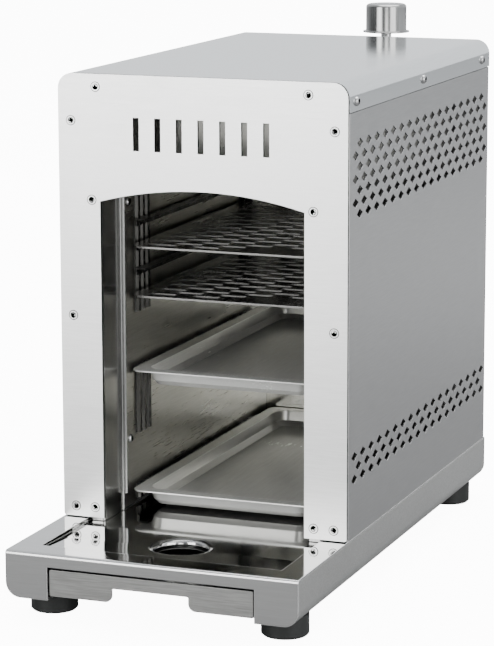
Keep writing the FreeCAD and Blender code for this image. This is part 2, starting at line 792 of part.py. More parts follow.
def make_right_jamb():
    """Leads from the opening in to the rails; its inner edge ends in a rolled hem."""
    web_x = CAVITY_HALF
    path = [
        (web_x - JAMB_RETURN, JAMB_REAR_Y),
        (web_x, JAMB_REAR_Y),
        (web_x, PANEL_FRONT_Y),
        (web_x + JAMB_FLANGE, PANEL_FRONT_Y),
    ]
    bottom = floor_height(JAMB_REAR_Y) + SLIDE_GAP
    top = LINER_TOP_Z
    jamb = folded("xy", path, PANEL, BEND, bottom, top)
    hem_z = BASE_TOP + HEM_RAISE
    clear = box(
        (web_x - JAMB_RETURN - CUT_OVER, web_x - BEND),
        (JAMB_REAR_Y - CUT_OVER, JAMB_REAR_Y + CUT_OVER),
        (bottom - CUT_OVER, hem_z),
    )
    hem_centre = Vector(web_x - JAMB_RETURN + HEM_RADIUS, JAMB_REAR_Y + PANEL / 2, hem_z)
    hem = rod(HEM_RADIUS, hem_centre, UP, top - hem_z)
    return fuse([jamb.cut(clear), hem])


def make_right_liner():
    """One side wall of the cooking space, turned outwards along its top."""
    top = LINER_TOP_Z
    front = JAMB_REAR_Y + PANEL + SLIDE_GAP + HEM_RADIUS
    bottom = floor_height(LINER_REAR_Y) + SLIDE_GAP
    path = [
        (CAVITY_HALF + LINER_FLANGE, top),
        (CAVITY_HALF, top),
        (CAVITY_HALF, bottom),
    ]
    return folded("xz", path, PANEL, BEND, front, LINER_REAR_Y)


def make_back_liner():
    """The back wall of the cooking space."""
    sheet = box(
        (-CAVITY_HALF - PANEL, CAVITY_HALF + PANEL),
        (LINER_REAR_Y, LINER_REAR_Y + PANEL),
        (floor_height(LINER_REAR_Y) + SLIDE_GAP, LINER_TOP_Z),
    )
    return cut(sheet, venturi_hole() + probe_holes())


def post(start_y, span):
    """A post against the right wall, pressed into upright ribs."""
    base_x = CAVITY_HALF
    crest_x = base_x - RIB_DEPTH
    pitch = POST_WIDTH / RIB_COUNT
    flat = (pitch - RIB_FOOT) / 2
    slope = (RIB_FOOT - RIB_CREST) / 2
    path = [(base_x, start_y)]
    for index in range(RIB_COUNT):
        y = start_y + index * pitch + flat
        path.append((base_x, y))
        path.append((crest_x, y + slope))
        path.append((crest_x, y + slope + RIB_CREST))
        path.append((base_x, y + RIB_FOOT))
    path.append((base_x, start_y + POST_WIDTH))
    return folded("xy", path, POST_SHEET, 0, BASE_TOP + span[0], BASE_TOP + span[1])


def make_right_posts():
    posts = []
    for start_y in (POST_FRONT_Y, POST_REAR_Y):
        for span in POST_SPANS:
            posts.append(post(start_y, span))
    return Part.makeCompound(posts)


def make_right_rails():
    """A rail at each level, welded to the crests of the posts."""
    outer = POST_INNER - PANEL
    rails = []
    for level in RAIL_LEVELS:
        z = BASE_TOP + level
        path = [(RAIL_INNER, z - PANEL), (outer, z - PANEL), (outer, z - RAIL_LIP)]
        rails.append(folded("xz", path, PANEL, 0, RAIL_FRONT_Y, RAIL_REAR_Y))
    return Part.makeCompound(rails)


# Shelves

def shelf_height(level):
    """Height of a shelf's underside just above its rails."""
    return BASE_TOP + level + SLIDE_GAP


def make_grate(level):
    """A flat plate with staggered slots and a plain patch at its front."""
    bottom = shelf_height(level)
    points = rectangle((-SHELF_HALF, SHELF_HALF), (SHELF_FRONT_Y, SHELF_REAR_Y))
    plate = prism("xy", points, GRATE_CORNER, bottom, bottom + GRATE)
    edge = SHELF_HALF - GRATE_MARGIN
    slots = []
    row = 0
    y = SHELF_FRONT_Y + GRATE_MARGIN
    while y + GRATE_SLOT_WIDTH <= SHELF_REAR_Y - GRATE_MARGIN:
        count = int((2 * edge - GRATE_SLOT) / GRATE_SLOT_PITCH) + 1 - row % 2
        for index in range(count):
            x = (index - (count - 1) / 2) * GRATE_SLOT_PITCH
            left = x - GRATE_SLOT / 2
            right = x + GRATE_SLOT / 2
            is_front = y < SHELF_FRONT_Y + PLAIN_PATCH_DEPTH
            if is_front and right > PLAIN_PATCH_LEFT and left < PLAIN_PATCH_RIGHT:
                continue
            slots.append(box((left, right), (y, y + GRATE_SLOT_WIDTH), (bottom - CUT_OVER, bottom + CUT_OVER)))
        row += 1
        y += GRATE_ROW_PITCH
    return cut(plate, slots)


def tray_body(shrink, top_rise):
    """The tapering block of a tray with a bevel round its floor, smaller all round by shrink."""
    floor = shrink - TRAY_DEPTH
    half = SHELF_HALF - TRAY_RIM - shrink
    front = SHELF_FRONT_Y + TRAY_RIM + shrink
    rear = SHELF_REAR_Y - TRAY_RIM - shrink
    sections = []
    for inset, height in (
        (0, top_rise),
        (TRAY_TAPER, floor + TRAY_FOLD),
        (TRAY_TAPER + TRAY_FOLD, floor),
    ):
        points = rectangle((-half + inset, half - inset), (front + inset, rear - inset))
        wire = outline("xy", points, [TRAY_CORNER - shrink - inset] * len(points))
        wire.translate(UP * height)
        sections.append(wire)
    return Part.makeLoft(sections, True, True)


def make_tray(level):
    """A pressed tray that hangs by its flat rim."""
    rim_points = rectangle((-SHELF_HALF, SHELF_HALF), (SHELF_FRONT_Y, SHELF_REAR_Y))
    rim = prism("xy", rim_points, TRAY_RIM_CORNER, 0, TRAY_SHEET)
    outer = tray_body(0, TRAY_SHEET)
    inner = tray_body(TRAY_SHEET, TRAY_SHEET + CUT_OVER)
    tray = rim.fuse(outer).cut(inner).removeSplitter()
    tray.translate(UP * shelf_height(level))
    return tray


# Burner

def venturi_hole():
    start = Vector(0, BURNER_REAR_Y - CUT_OVER, VENTURI_Z)
    return [rod(VENTURI_RADIUS + FIT_GAP, start, BACK, HOUSING_DEPTH - BURNER_REAR_Y + 2 * CUT_OVER)]


def probe_holes():
    length = HOUSING_DEPTH - LINER_REAR_Y + 2 * CUT_OVER
    return [
        rod(PROBE_RADIUS + FIT_GAP, Vector(x, LINER_REAR_Y - CUT_OVER, PROBE_Z), BACK, length)
        for x in (-PROBE_X, PROBE_X)
    ]


def make_burner_box():
    """The gas chamber above the tiles: a roof that hangs by its side flanges, and four walls welded under it."""
    walls_z = (BURNER_BOTTOM_Z + PANEL, LINER_TOP_Z)
    flange_x = CAVITY_HALF + LINER_FLANGE
    inner_x = BURNER_HALF - PANEL
    length = (BURNER_FRONT_Y, BURNER_REAR_Y)
    roof = box((-flange_x, flange_x), length, (LINER_TOP_Z, LINER_TOP_Z + PANEL))
    right_wall = box((inner_x, BURNER_HALF), length, walls_z)
    front_wall = box((-inner_x, inner_x), (BURNER_FRONT_Y, BURNER_FRONT_Y + PANEL), walls_z)
    rear_wall = box((-inner_x, inner_x), (BURNER_REAR_Y - PANEL, BURNER_REAR_Y), walls_z)
    pierced = cut(rear_wall, venturi_hole())
    return Part.makeCompound([roof, right_wall, mirrored(right_wall), front_wall, pierced])


def tile_places():
    """Start and end of each tile along the burner."""
    front = BURNER_FRONT_Y + PANEL + TILE_END_GAP
    rear = BURNER_REAR_Y - PANEL - TILE_END_GAP
    length = (rear - front - (TILE_COUNT - 1) * TILE_GAP) / TILE_COUNT
    for index in range(TILE_COUNT):
        start = front + index * (length + TILE_GAP)
        yield start, start + length


def make_burner_frame():
    """The flat frame that holds the tiles up, with a bar under each joint between tiles."""
    low = BURNER_BOTTOM_Z
    sheet = box((-BURNER_HALF, BURNER_HALF), (BURNER_FRONT_Y, BURNER_REAR_Y), (low, low + PANEL))
    windows = []
    half = BURNER_HALF - BURNER_RIM
    for start, end in tile_places():
        windows.append(box((-half, half), (start + TILE_SEAT, end - TILE_SEAT), (low - CUT_OVER, low + CUT_OVER)))
    return cut(sheet, windows)


def make_ceramic_tiles():
    """The glowing tiles, bevelled round their upper edge, lying on the frame."""
    low = BURNER_BOTTOM_Z + PANEL
    half = BURNER_HALF - PANEL - TILE_END_GAP
    tiles = []
    for start, end in tile_places():
        tile = box((-half, half), (start, end), (low, low + TILE_HEIGHT))
        rim = [edge for edge in tile.Edges if edge.BoundBox.ZMin > low + TILE_HEIGHT / 2]
        tiles.append(tile.makeChamfer(TILE_EDGE, rim))
    return Part.makeCompound(tiles)


def make_heat_shield():
    """A folded sheet over the burner that keeps the roof cooler."""
    leg_x = CAVITY_HALF + LINER_FLANGE
    low = LINER_TOP_Z + PANEL
    high = LINER_TOP_Z + SHIELD_RISE
    path = [(leg_x, low), (leg_x, high), (-leg_x, high), (-leg_x, low)]
    return folded("xz", path, FLAP, BEND, BURNER_FRONT_Y, BURNER_REAR_Y - SHIELD_REAR_INSET)


def make_venturi_tube():
    """The mixing tube from the burner through the back, with a wider air cup at its rear."""
    start = Vector(0, VENTURI_FRONT_Y, VENTURI_Z)
    length = VENTURI_REAR_Y - VENTURI_FRONT_Y
    cup_start = Vector(0, VENTURI_REAR_Y - VENTURI_CUP_LENGTH, VENTURI_Z)
    tube = rod(VENTURI_RADIUS, start, BACK, length - VENTURI_CUP_LENGTH + VENTURI_WALL)
    cup = rod(VENTURI_CUP_RADIUS, cup_start, BACK, VENTURI_CUP_LENGTH)
    hollow = rod(VENTURI_CUP_RADIUS - VENTURI_WALL, cup_start + BACK * VENTURI_WALL, BACK, VENTURI_CUP_LENGTH)
    return cut(fuse([tube, cup]), [rod(VENTURI_RADIUS - VENTURI_WALL, start, BACK, length), hollow])


def probe(x):
    """A ceramic rod through the back of the cooking space, with a thin metal tip."""
    start = Vector(x, PROBE_FRONT_Y, PROBE_Z)
    rod_body = rod(PROBE_RADIUS, start, BACK, HOUSING_DEPTH + PROBE_TAIL - PROBE_FRONT_Y)
    tip = rod(PROBE_TIP_RADIUS, start, BACK * -1, PROBE_TIP_LENGTH)
    return fuse([rod_body, tip])


# Gas controls

def make_valve_bracket():
    """A channel on the back panel that carries the valve; its cheeks taper to the rear."""
    front = BACK_Y + REAR_INSET
    top = BRACKET_TOP_Z
    low = top - BRACKET_SIDE
    path = [
        (BRACKET_HALF, low),
        (BRACKET_HALF, top),
        (-BRACKET_HALF, top),
        (-BRACKET_HALF, low),
    ]
    channel = folded("xz", path, BRACKET, BEND, front, BRACKET_REAR_Y)
    taper_points = [
        (front + BRACKET_EAR, low - CUT_OVER),
        (BRACKET_REAR_Y + CUT_OVER, low - CUT_OVER),
        (BRACKET_REAR_Y + CUT_OVER, top - BRACKET_NOSE),
        (BRACKET_REAR_Y, top - BRACKET_NOSE),
    ]
    taper = prism("yz", taper_points, 0, -HALF, HALF)
    ear = box(
        (BRACKET_HALF - BRACKET, BRACKET_HALF + BRACKET_EAR),
        (front, front + BRACKET),
        (low, top - BRACKET),
    )
    bush = rod(BUSH_RADIUS + FIT_GAP, Vector(0, KNOB_Y, top - CUT_OVER), UP, 2 * CUT_OVER)
    whole = fuse([channel.cut(taper), ear, mirrored(ear)])
    return cut(whole, [bush])


def make_gas_valve():
    """The valve body with its round neck and the bush that passes through the bracket."""
    block_points = rectangle((-VALVE_HALF, VALVE_HALF), (VALVE_FRONT_Y, VALVE_REAR_Y))
    block = prism("xy", block_points, 0, VALVE_BOTTOM_Z, VALVE_TOP_Z)
    neck_start = Vector(0, KNOB_Y, VALVE_TOP_Z)
    neck = rod(VALVE_NECK_RADIUS, neck_start, UP, VALVE_NECK)
    bush = rod(BUSH_RADIUS, neck_start, UP, BUSH_TOP_Z - VALVE_TOP_Z)
    bore_low = KNOB_BOTTOM_Z - STEM_REACH - PUSH_TRAVEL - SLEEVE_GAP
    bore = rod(STEM_RADIUS + STEM_GAP, Vector(0, KNOB_Y, bore_low), UP, BUSH_TOP_Z - bore_low)
    sleeve_low = KNOB_BOTTOM_Z - SLIDE_GAP - SLEEVE_LENGTH - PUSH_TRAVEL - SLEEVE_GAP
    sleeve_length = BUSH_TOP_Z - sleeve_low + CUT_OVER
    sleeve_bore = rod(SLEEVE_RADIUS + SLEEVE_GAP, Vector(0, KNOB_Y, sleeve_low), UP, sleeve_length)
    return cut(fuse([block, neck, bush]), [bore, sleeve_bore])


def make_valve_nut():
    start = Vector(0, KNOB_Y, BRACKET_TOP_Z)
    nut = hexagon(BUSH_NUT_ACROSS, start, UP, BUSH_NUT_HEIGHT)
    return nut.cut(rod(BUSH_RADIUS, start, UP, BUSH_NUT_HEIGHT))


def make_push_sleeve():
    """The sprung sleeve round the stem, which goes down with the knob."""
    start = Vector(0, KNOB_Y, KNOB_BOTTOM_Z - SLIDE_GAP - SLEEVE_LENGTH)
    sleeve = rod(SLEEVE_RADIUS, start, UP, SLEEVE_LENGTH)
    return sleeve.cut(rod(STEM_RADIUS + STEM_GAP, start, UP, SLEEVE_LENGTH))


def make_valve_stem():
    start = Vector(0, KNOB_Y, KNOB_BOTTOM_Z - STEM_REACH)
    return rod(STEM_RADIUS, start, UP, STEM_REACH + STEM_GRIP)


def make_control_knob():
    """A turned knob on a thin wide foot, bored for the stem."""
    profile = [
        (STEM_RADIUS, 0),
        (KNOB_FLANGE_RADIUS, 0),
        (KNOB_FLANGE_RADIUS, KNOB_FLANGE),
        (KNOB_RADIUS, KNOB_FLANGE),
        (KNOB_RADIUS, KNOB_HEIGHT),
        (0, KNOB_HEIGHT),
        (0, STEM_GRIP),
        (STEM_RADIUS, STEM_GRIP),
    ]
    return turned(profile, Vector(0, KNOB_Y, KNOB_BOTTOM_Z), UP)


def make_gas_jet():
    """The jet that blows gas into the bell mouth, with its nut."""
    nut_start = Vector(0, VALVE_FRONT_Y - JET_NUT_LENGTH, VENTURI_Z)
    nozzle = rod(JET_RADIUS, nut_start, BACK * -1, JET_LENGTH)
    nut = hexagon(JET_NUT_ACROSS, nut_start, BACK, JET_NUT_LENGTH)
    return fuse([nozzle, nut])


def make_inlet_nipple():
    """The hose nipple under the valve: a nut and a bored spigot."""
    top = Vector(0, KNOB_Y, VALVE_BOTTOM_Z)
    nut = hexagon(NIPPLE_NUT_ACROSS, top, UP * -1, NIPPLE_NUT_HEIGHT)
    spigot = rod(NIPPLE_RADIUS, top, UP * -1, NIPPLE_LENGTH)
    bore = rod(NIPPLE_BORE_RADIUS, top, UP * -1, NIPPLE_LENGTH)
    return fuse([nut, spigot]).cut(bore)


def make_all():
    right_panel = make_right_panel()
    right_jamb = make_right_jamb()
    right_liner = make_right_liner()
    right_posts = make_right_posts()
    right_rails = make_right_rails()
    return {
        "feet": make_feet(),
        "base_shell": make_base_shell(),
        "base_top": make_base_top(),
        "drawer_rails": make_drawer_rails(),
        "drip_drawer": make_drip_drawer(),
        "front_plate": make_front_plate(),
        "front_frame": make_front_frame(),
        "right_panel": right_panel,
        "left_panel": mirrored(right_panel),
        "top_cover": make_top_cover(),
        "cover_screws": make_cover_screws(),
        "rear_panel": make_rear_panel(),
        "right_jamb": right_jamb,
        "left_jamb": mirrored(right_jamb),
        "right_liner": right_liner,
        "left_liner": mirrored(right_liner),
        "back_liner": make_back_liner(),
        "right_posts": right_posts,
        "left_posts": mirrored(right_posts),
        "right_rails": right_rails,
        "left_rails": mirrored(right_rails),
        "upper_grate": make_grate(UPPER_GRATE_LEVEL),
        "lower_grate": make_grate(LOWER_GRATE_LEVEL),
        "upper_tray": make_tray(UPPER_TRAY_LEVEL),
        "lower_tray": make_tray(LOWER_TRAY_LEVEL),
        "burner_box": make_burner_box(),
        "burner_frame": make_burner_frame(),
        "ceramic_tiles": make_ceramic_tiles(),
        "heat_shield": make_heat_shield(),
        "venturi_tube": make_venturi_tube(),
        "igniter": probe(PROBE_X),
        "thermocouple": probe(-PROBE_X),
        "valve_bracket": make_valve_bracket(),
        "gas_valve": make_gas_valve(),
        "valve_nut": make_valve_nut(),
        "push_sleeve": make_push_sleeve(),
        "valve_stem": make_valve_stem(),
        "control_knob": make_control_knob(),
        "gas_jet": make_gas_jet(),
        "inlet_nipple": make_inlet_nipple(),
    }


def place_all(parts):
    """Move the parts to the part's own frame and write each one out."""
    os.makedirs("parts", exist_ok=True)
    for name, shape in parts.items():
        moved = shape.copy()
        moved.translate(BACK * PLATE_CENTRE_Y)
        moved.exportStep("parts/%s.step" % name)


place_all(make_all())
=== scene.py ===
# %% [markdown]
# # An infrared steak grill in sheet steel
#
# The grill is a tall folded steel housing over a flat base. Its open front leads into a cooking
# space with two slotted grates and two trays on rails, a gas burner hangs under the roof, and a
# knob stands behind the housing. The exact shapes of all sheets come from the CAD model, so this
# file adds what CAD leaves out: screw heads, the turned knob with its soft edges, hose barbs, the
# folded edges of the drawer's front, and above all the finishes, because brushed, satin and
# polished steel is what the eye sees first on such a thing.

# %% Load the frame
import math

import bmesh
import bpy
from mathutils import Matrix, Vector


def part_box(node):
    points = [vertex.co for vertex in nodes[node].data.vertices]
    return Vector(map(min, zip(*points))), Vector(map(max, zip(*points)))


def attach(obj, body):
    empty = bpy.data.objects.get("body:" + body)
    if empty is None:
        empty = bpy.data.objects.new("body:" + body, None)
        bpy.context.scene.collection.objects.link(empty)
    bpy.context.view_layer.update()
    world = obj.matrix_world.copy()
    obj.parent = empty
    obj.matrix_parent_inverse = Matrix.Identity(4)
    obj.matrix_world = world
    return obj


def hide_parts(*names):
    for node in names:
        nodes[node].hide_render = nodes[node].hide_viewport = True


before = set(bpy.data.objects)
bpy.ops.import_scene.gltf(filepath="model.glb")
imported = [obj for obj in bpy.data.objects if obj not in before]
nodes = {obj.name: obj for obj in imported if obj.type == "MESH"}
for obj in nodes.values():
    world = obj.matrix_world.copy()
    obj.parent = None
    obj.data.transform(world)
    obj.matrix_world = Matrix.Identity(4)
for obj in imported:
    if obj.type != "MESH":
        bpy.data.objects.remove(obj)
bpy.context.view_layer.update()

# %% [markdown]
# ## The camera
#
# The photograph was taken with a long lens from the right of the front, a little above the grill.
# The straight edges of the housing give the camera's place and turn exactly. The picture is
# taller than it is wide, so the 36 mm of the sensor lie along its height.

# %% Camera
CAMERA_PLACE = Vector((0.7922, -2.1414, 0.6327))
CAMERA_YAW = 21.07
CAMERA_PITCH = 11.065
CAMERA_ROLL = 0.157
LENS_MM = 154.06
SENSOR_MM = 36.0
FARTHEST_SEEN = 50.0

camera_data = bpy.data.cameras.new("photo_camera")
camera_data.sensor_width = SENSOR_MM
camera_data.lens = LENS_MM
camera_data.clip_end = FARTHEST_SEEN
camera = bpy.data.objects.new("photo_camera", camera_data)
turn = (
    Matrix.Rotation(math.radians(CAMERA_YAW), 4, "Z")
    @ Matrix.Rotation(math.radians(90 - CAMERA_PITCH), 4, "X")
    @ Matrix.Rotation(math.radians(-CAMERA_ROLL), 4, "Z")
)
camera.matrix_world = Matrix.Translation(CAMERA_PLACE) @ turn
bpy.context.scene.collection.objects.link(camera)
bpy.context.scene.camera = camera
print("Camera looks along", tuple(round(v, 3) for v in turn @ Vector((0, 0, -1))))

# %% [markdown]
# ## Helpers for pieces and for nodes
#
# Every piece is made in a bmesh and becomes an object at the origin. The helpers for nodes each
# place one shader node and give back its result, so that a material reads like a formula.

# %% A new piece
SHARP_ANGLE = math.radians(35)


def new_piece(name, mesh_maker):
    """An object at the origin whose mesh is made in a bmesh by mesh_maker."""
    work = bmesh.new()
    mesh_maker(work)
    mesh = bpy.data.meshes.new(name)
    work.to_mesh(mesh)
    work.free()
    mesh.shade_smooth()
    mesh.set_sharp_from_angle(angle=SHARP_ANGLE)
    piece = bpy.data.objects.new(name, mesh)
    bpy.context.scene.collection.objects.link(piece)
    return piece


# %% Nodes for numbers and vectors
def feed(tree, value, socket):
    """Links value to the socket if it is a socket itself, or else sets the socket to it."""
    if isinstance(value, bpy.types.NodeSocket):
        tree.links.new(value, socket)
    else:
        socket.default_value = value


def math_node(tree, operation, *values):
    """A Math node; the values are sockets or numbers."""
    node = tree.nodes.new("ShaderNodeMath")
    node.operation = operation
    for value, socket in zip(values, node.inputs):
        feed(tree, value, socket)
    return node.outputs[0]


def vector_node(tree, operation, *values):
    """A Vector Math node; the values are sockets or triples."""
    node = tree.nodes.new("ShaderNodeVectorMath")
    node.operation = operation
    for value, socket in zip(values, node.inputs):
        feed(tree, value, socket)
    return node.outputs["Value" if operation in ("DOT_PRODUCT", "LENGTH") else "Vector"]


def span(tree, value, low, high, new_low, new_high):
    """A Map Range node from low..high to new_low..new_high, with soft ends."""
    node = tree.nodes.new("ShaderNodeMapRange")
    node.interpolation_type = "SMOOTHSTEP"
    settings = {"Value": value, "From Min": low, "From Max": high, "To Min": new_low, "To Max": new_high}
    for name, setting in settings.items():
        feed(tree, setting, node.inputs[name])
    return node.outputs["Result"]


# %% Nodes for colours and noise
def blend(tree, start, end, share):
    """A Mix node from one colour to another, each a socket or a triple; share is a socket."""
    node = tree.nodes.new("ShaderNodeMix")
    node.data_type = "RGBA"
    for name, colour in (("A", start), ("B", end)):
        is_socket = isinstance(colour, bpy.types.NodeSocket)
        feed(tree, colour if is_socket else (*colour, 1), node.inputs[name])
    tree.links.new(share, node.inputs["Factor"])
    return node.outputs["Result"]


def noise_node(tree, place, scale, detail, roughness, distortion):
    """A Noise Texture node; place and scale are sockets."""
    node = tree.nodes.new("ShaderNodeTexNoise")
    settings = {
        "Vector": place, "Scale": scale, "Detail": detail, "Roughness": roughness, "Distortion": distortion,
    }
    for name, setting in settings.items():
        feed(tree, setting, node.inputs[name])
    return node.outputs["Fac"]


# %% [markdown]
# ## Floor and light
#
# Bare metal has no colour of its own to speak of: it shows what stands round it. A pale floor and
# a bright room therefore do much of the lighting. Four soft lights add the slow gradients that a
# photographer's soft boxes leave on sheet steel.

# %% Floor
FLOOR_RADIUS = 14.0
FLOOR_SIDES = 96


def plain_floor(work):
    bmesh.ops.create_circle(work, cap_ends=True, radius=FLOOR_RADIUS, segments=FLOOR_SIDES)


floor = new_piece("studio_floor", plain_floor)
print("Floor radius in metres:", FLOOR_RADIUS)

# %% [markdown]
# The camera sees a white floor, but the steel is given a greyer one to reflect, darkest close to
# the grill. Bright steel that mirrors a white floor has no edges left, which is why studios hold
# dark sheets beside it. Is Camera Ray tells the two apart.

# %% Floor paint
FLOOR_SEEN = 0.90
FLOOR_NEAR = 0.18
FLOOR_FAR = 0.42
NEAR_REACH = 0.5
FAR_REACH = 1.6
FLOOR_GLOW = 11.0
FLOOR_ROUGHNESS = 0.65
NO_GLOW = (0, 0, 0)

floor_paint = bpy.data.materials.new("floor_paint")
floor_paint.use_nodes = True
tree = floor_paint.node_tree
paint = tree.nodes["Principled BSDF"]
paint.inputs["Roughness"].default_value = FLOOR_ROUGHNESS
paint.inputs["Emission Strength"].default_value = 1.0
seen = tree.nodes.new("ShaderNodeLightPath").outputs["Is Camera Ray"]
place = tree.nodes.new("ShaderNodeTexCoord").outputs["Object"]
away = vector_node(tree, "LENGTH", place)
reflected = span(tree, away, NEAR_REACH, FAR_REACH, FLOOR_NEAR, FLOOR_FAR)
tree.links.new(blend(tree, reflected, [FLOOR_SEEN] * 3, seen), paint.inputs["Base Color"])
tree.links.new(blend(tree, NO_GLOW, [FLOOR_GLOW] * 3, seen), paint.inputs["Emission Color"])
floor.data.materials.append(floor_paint)
print("Floor paint nodes:", len(tree.nodes))

# %% [markdown]
# The room is bright behind and above the grill and darker behind the camera, as a studio is. Round
# and polished parts such as the knob get their dark middle and their bright streaks from that.

# %% Room
ROOM_BRIGHT = 1.35
ROOM_DARK = 0.22
ROOM_COLOUR = (0.94, 0.97, 1.0)
BRIGHT_SIDE = (0.25, 0.78, 0.57)
FADE_START = -0.55
FADE_END = 0.45

room = bpy.data.worlds.new("studio_room")
room.use_nodes = True
tree = room.node_tree
background = tree.nodes["Background"]
background.inputs["Color"].default_value = (*ROOM_COLOUR, 1)
direction = tree.nodes.new("ShaderNodeTexCoord").outputs["Generated"]
toward = vector_node(tree, "DOT_PRODUCT", direction, BRIGHT_SIDE)
strength = span(tree, toward, FADE_START, FADE_END, ROOM_DARK, ROOM_BRIGHT)
tree.links.new(strength, background.inputs["Strength"])
bpy.context.scene.world = room
print("Room strength from", ROOM_DARK, "to", ROOM_BRIGHT)

# %% [markdown]
# The front light stands at the left of the camera and the right light to the right of the
# housing. The cavity light, beside the camera, reaches through the opening to the trays, and the
# top light hangs over the cover. Each is given by its place, its target, its size in metres and
# its watts.


# %% Soft lights
def soft_light(name, place, target, size, watts):
    """A rectangular soft light at place that faces target; only its light and reflection show."""
    data = bpy.data.lights.new(name, "AREA")
    data.shape = "RECTANGLE"
    data.size, data.size_y = size
    data.energy = watts
    light = bpy.data.objects.new(name, data)
    aim = (Vector(target) - Vector(place)).to_track_quat("-Z", "Y")
    light.matrix_world = Matrix.Translation(place) @ aim.to_matrix().to_4x4()
    light.visible_camera = False
    bpy.context.scene.collection.objects.link(light)


soft_light("front_light", (-1.05, -2.6, 1.0), (0, 0, 0.6), (1.5, 2.0), 62)
soft_light("right_light", (2.4, -1.3, 1.0), (0, 0, 0.6), (1.7, 2.0), 50)
soft_light("cavity_light", (1.15, -2.75, 0.95), (0, 0, 0.2), (0.9, 0.9), 13)
soft_light("top_light", (0.2, 0.6, 2.6), (0, 0, 0.3), (2.2, 2.2), 90)

# %% [markdown]
# ## Shader groups that all the finishes share
#
# Every metal on the grill has the same three things on it: fine brush lines, faint smudges where
# hands and fat have been, and edges lightened by a painted highlight, with painted shade in the
# gaps between sheets. Each is a node group with named inputs, placed in every material with its
# own numbers. The groups only put out masks, values and normals; the shader itself stays in the material.

# %% A helper for node groups
FLOAT = "NodeSocketFloat"
VECTOR = "NodeSocketVector"


def node_group(name, inputs, outputs):
    """An empty shader group; inputs are (name, kind, default), outputs (name, kind)."""
    group = bpy.data.node_groups.new(name, "ShaderNodeTree")
    for socket_name, kind, default in inputs:
        socket = group.interface.new_socket(socket_name, in_out="INPUT", socket_type=kind)
        if default is not None:
            socket.default_value = default
    for socket_name, kind in outputs:
        group.interface.new_socket(socket_name, in_out="OUTPUT", socket_type=kind)
    start = group.nodes.new("NodeGroupInput")
    end = group.nodes.new("NodeGroupOutput")
    return group, start.outputs, end.inputs


# %% [markdown]
# Brush lines are noise drawn out along one way of the object: the place is squeezed by Stretch
# before the noise reads it, and a small number there makes long lines.

# %% Brush lines
LINE_DETAIL = 3.0
LINE_ROUGHNESS = 0.65

brush_lines, given, out = node_group(
    "brush_lines",
    [("Place", VECTOR, None), ("Stretch", VECTOR, (1, 1, 1)), ("Fineness", FLOAT, 900.0)],
    [("Lines", FLOAT)],
)
squeezed = vector_node(brush_lines, "MULTIPLY", given["Place"], given["Stretch"])
lines = noise_node(brush_lines, squeezed, given["Fineness"], LINE_DETAIL, LINE_ROUGHNESS, 0.0)
brush_lines.links.new(lines, out["Lines"])

# %% [markdown]
# Smudges are coarse, slightly twisted noise. Only its higher part counts, so that clean metal
# stays between the patches.

# %% Smudges
SMUDGE_DETAIL = 5.0
SMUDGE_ROUGHNESS = 0.6
SMUDGE_TWIST = 0.4
PATCH_START = 0.42
PATCH_FULL = 0.68

smudges, given, out = node_group(
    "smudges",
    [("Place", VECTOR, None), ("Size", FLOAT, 9.0), ("Amount", FLOAT, 0.5)],
    [("Mask", FLOAT)],
)
clouds = noise_node(smudges, given["Place"], given["Size"], SMUDGE_DETAIL, SMUDGE_ROUGHNESS, SMUDGE_TWIST)
patches = span(smudges, clouds, PATCH_START, PATCH_FULL, 0.0, 1.0)
smudges.links.new(math_node(smudges, "MULTIPLY", patches, given["Amount"]), out["Mask"])

# %% [markdown]
# A Bevel node rounds the normal near an edge. Where that normal and the true one disagree is the
# edge, which the finishes lighten as a painted highlight. An Ambient Occlusion node with a short
# reach finds the gaps where sheets meet, which the finishes darken as painted shade.

# %% Painted highlight on edges and painted shade in gaps
EDGE_FULL = 0.8
EDGE_NONE = 0.995
GAP_FULL = 0.25
GAP_NONE = 0.75
RAY_SAMPLES = 4

highlight_and_shade_masks, given, out = node_group(
    "highlight_and_shade_masks",
    [("Radius", FLOAT, 0.0004), ("Reach", FLOAT, 0.002)],
    [("Normal", VECTOR), ("Edge", FLOAT), ("Gap", FLOAT)],
)
rounding = highlight_and_shade_masks.nodes.new("ShaderNodeBevel")
rounding.samples = RAY_SAMPLES
highlight_and_shade_masks.links.new(given["Radius"], rounding.inputs["Radius"])
surface = highlight_and_shade_masks.nodes.new("ShaderNodeNewGeometry")
facing = vector_node(highlight_and_shade_masks, "DOT_PRODUCT", rounding.outputs["Normal"], surface.outputs["Normal"])
highlight_and_shade_masks.links.new(rounding.outputs["Normal"], out["Normal"])
highlight_and_shade_masks.links.new(span(highlight_and_shade_masks, facing, EDGE_FULL, EDGE_NONE, 1.0, 0.0), out["Edge"])
# Painted shade mask: ambient occlusion with a short reach finds the gaps between sheets.
shade = highlight_and_shade_masks.nodes.new("ShaderNodeAmbientOcclusion")
shade.samples = RAY_SAMPLES
highlight_and_shade_masks.links.new(given["Reach"], shade.inputs["Distance"])
highlight_and_shade_masks.links.new(span(highlight_and_shade_masks, shade.outputs["AO"], GAP_FULL, GAP_NONE, 1.0, 0.0), out["Gap"])

# %% [markdown]
# The front plate is cut by laser, and a cut edge is dull and dark beside the brushed face. Both
# belong to one flat sheet, so the normal tells them apart: on the face it points along Face or
# against it, and on a cut edge it points across.

# %% Cut edges
CUT_FULL = 0.4
CUT_NONE = 0.7

cut_edges, given, out = node_group("cut_edges", [("Face", VECTOR, (0, 1, 0))], [("Mask", FLOAT)])
surface = cut_edges.nodes.new("ShaderNodeNewGeometry")
along = vector_node(cut_edges, "DOT_PRODUCT", surface.outputs["Normal"], given["Face"])
either_way = math_node(cut_edges, "ABSOLUTE", along)
cut_edges.links.new(span(cut_edges, either_way, CUT_FULL, CUT_NONE, 1.0, 0.0), out["Mask"])
print("Shader groups:", [g.name for g in bpy.data.node_groups])

